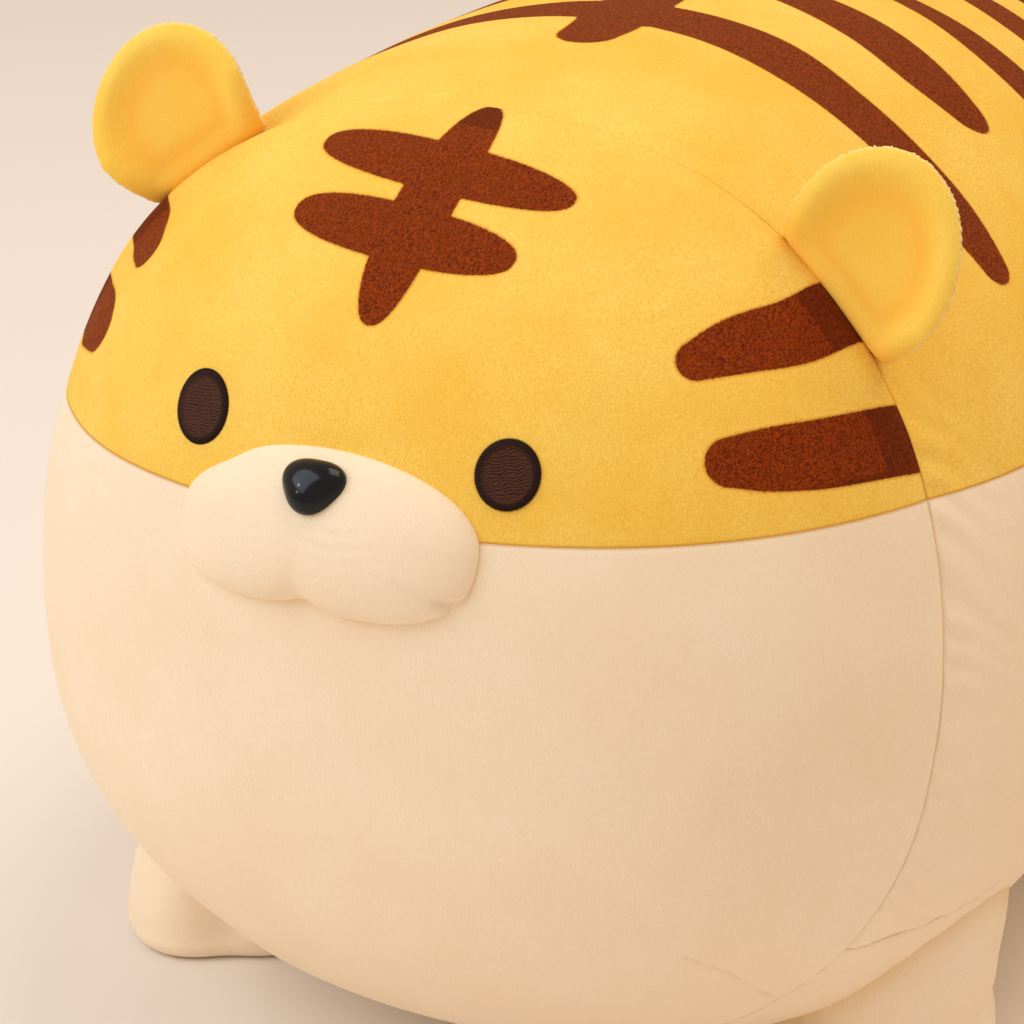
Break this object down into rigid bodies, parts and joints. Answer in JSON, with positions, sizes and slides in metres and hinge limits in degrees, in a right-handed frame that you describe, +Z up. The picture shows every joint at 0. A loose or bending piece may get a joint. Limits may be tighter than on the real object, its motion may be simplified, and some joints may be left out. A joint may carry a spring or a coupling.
{
  "type": "plush tiger",
  "caption": "Fat loaf-shaped plush tiger, yellow with brown stripes over cream, with a pillow muzzle, glossy nose, embroidered eyes, cupped ears that fold, stub legs and a stub tail.",
  "frame": {"origin": "on the floor, straight under the body's widest section, where the belly rests", "axes": "+Z up, the face looks towards -Y and the rump is towards +Y; the tiger's left side is +X"},
  "size_m": [0.38, 0.6249, 0.3496],
  "materials": {
    "striped_yellow_plush": "short-pile knitted plush, yellow with printed brown stripes",
    "yellow_plush": "short-pile knitted plush, plain yellow",
    "cream_plush": "short-pile knitted plush, plain cream",
    "fibre_fill": "loose polyester fibre, hidden inside",
    "brown_embroidery": "satin-stitched dark brown thread",
    "nose_plastic": "moulded black plastic, glossy",
    "washer_plastic": "white plastic, hidden inside"
  },
  "bodies": {
    "body": {"body_stuffing": "fibre_fill", "face_upper_panel": "striped_yellow_plush", "face_lower_panel": "cream_plush", "back_panel": "striped_yellow_plush", "side_panel_left": "cream_plush", "side_panel_right": "cream_plush", "belly_panel": "cream_plush", "rump_upper_panel": "striped_yellow_plush", "rump_lower_panel": "cream_plush", "muzzle_cover": "cream_plush", "muzzle_stuffing": "fibre_fill", "nose": "nose_plastic", "nose_washer": "washer_plastic", "eye_left_patch": "brown_embroidery", "eye_left_border": "brown_embroidery", "eye_right_patch": "brown_embroidery", "eye_right_border": "brown_embroidery", "leg_front_left_cover": "cream_plush", "leg_front_left_stuffing": "fibre_fill", "leg_front_right_cover": "cream_plush", "leg_front_right_stuffing": "fibre_fill", "leg_rear_left_cover": "cream_plush", "leg_rear_left_stuffing": "fibre_fill", "leg_rear_right_cover": "cream_plush", "leg_rear_right_stuffing": "fibre_fill"},
    "ear_left": {"ear_left_front": "yellow_plush", "ear_left_back": "yellow_plush", "ear_left_padding": "fibre_fill"},
    "ear_right": {"ear_right_front": "yellow_plush", "ear_right_back": "yellow_plush", "ear_right_padding": "fibre_fill"},
    "tail": {"tail_cover": "striped_yellow_plush", "tail_stuffing": "fibre_fill"}
  },
  "joints": [
    {"name": "ear_left_fold", "type": "hinge", "parent": "body", "child": "ear_left", "pos_m": [0.12432, -0.08071, 0.29], "axis": [-0.7132, 0.1355, 0.6877], "range_deg": [-25, 25], "stiffness_Nm_per_rad": 0.02},
    {"name": "ear_right_fold", "type": "hinge", "parent": "body", "child": "ear_right", "pos_m": [-0.10557, -0.07779, 0.30484], "axis": [-0.8165, -0.1117, -0.5665], "range_deg": [-25, 25], "stiffness_Nm_per_rad": 0.02},
    {"name": "tail_lift", "type": "hinge", "parent": "body", "child": "tail", "pos_m": [0, 0.36259, 0.20978], "axis": [1, 0, 0], "range_deg": [-50, 35], "stiffness_Nm_per_rad": 0.04}
  ]
}
